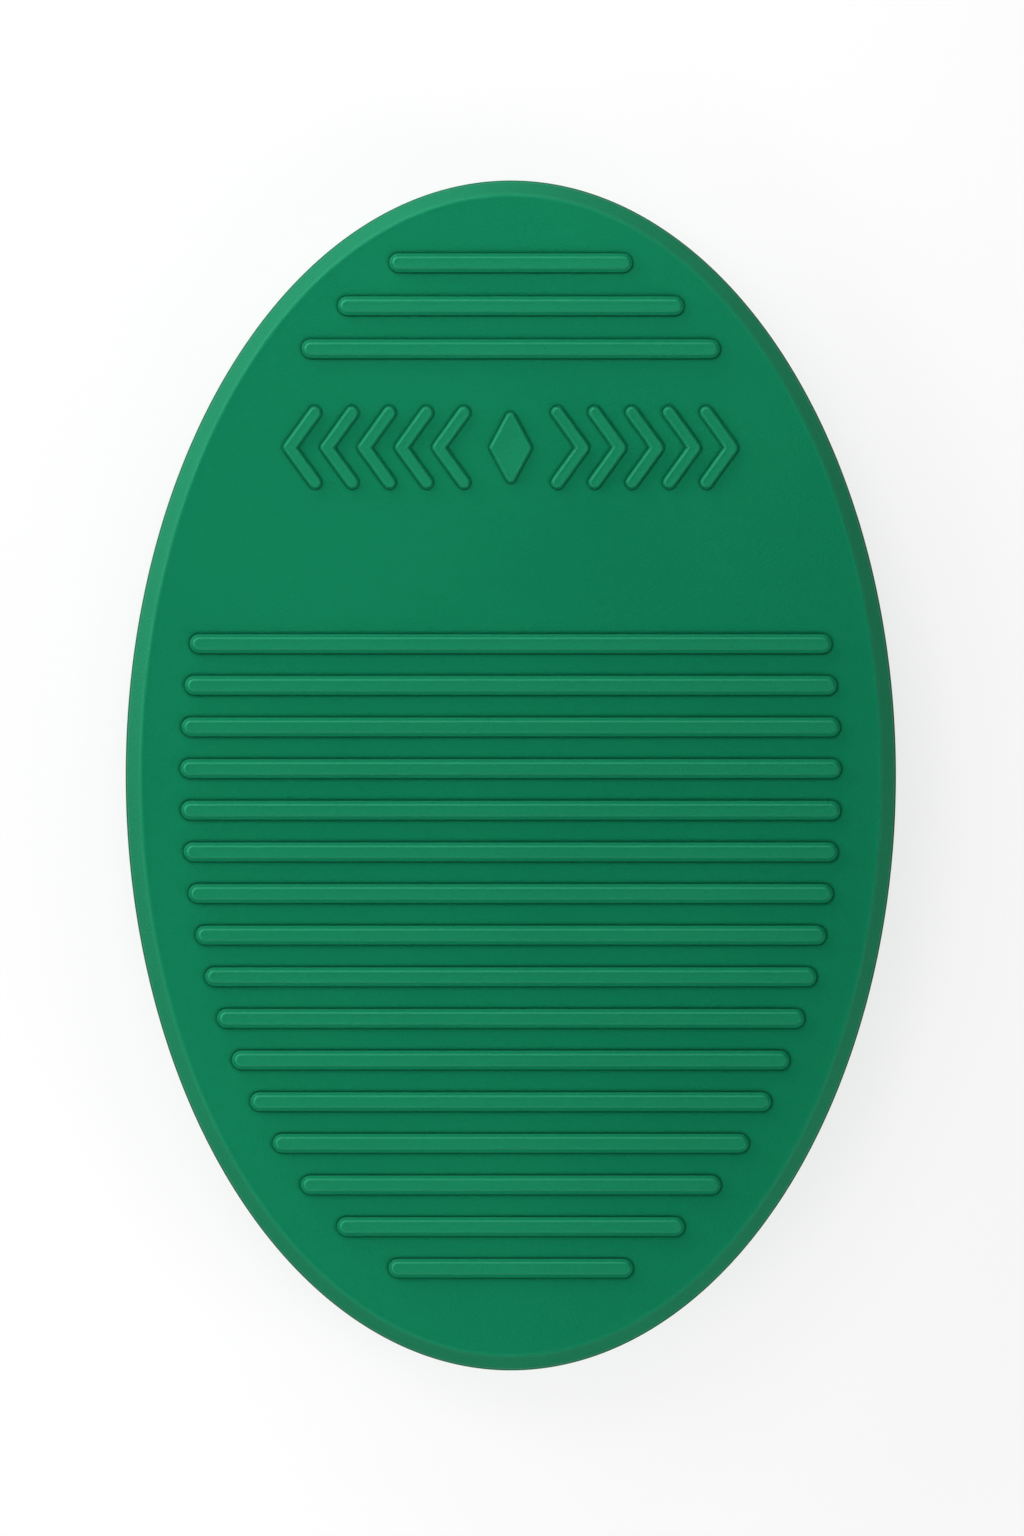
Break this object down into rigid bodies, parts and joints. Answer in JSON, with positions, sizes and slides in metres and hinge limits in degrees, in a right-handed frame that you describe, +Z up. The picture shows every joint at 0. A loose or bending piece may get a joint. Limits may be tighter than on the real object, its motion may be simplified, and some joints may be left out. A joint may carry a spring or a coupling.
{
  "type": "foam balance pad",
  "caption": "Oval moulded foam pad with cross ribs, a bevelled rim and a raised chevron motif, stood on to train balance.",
  "frame": {"origin": "on the floor, under the centre of the oval", "axes": "+Z up, out of the ribbed standing face; +Y towards the toe end, where the raised motif is; X across the width"},
  "size_m": [0.259, 0.4, 0.05],
  "materials": {
    "moulded_skin": "satin",
    "cellular_core": "matte"
  },
  "bodies": {
    "root": {"tread_cover": "moulded_skin", "base_cover": "moulded_skin", "foam_core": "cellular_core"}
  },
  "joints": []
}
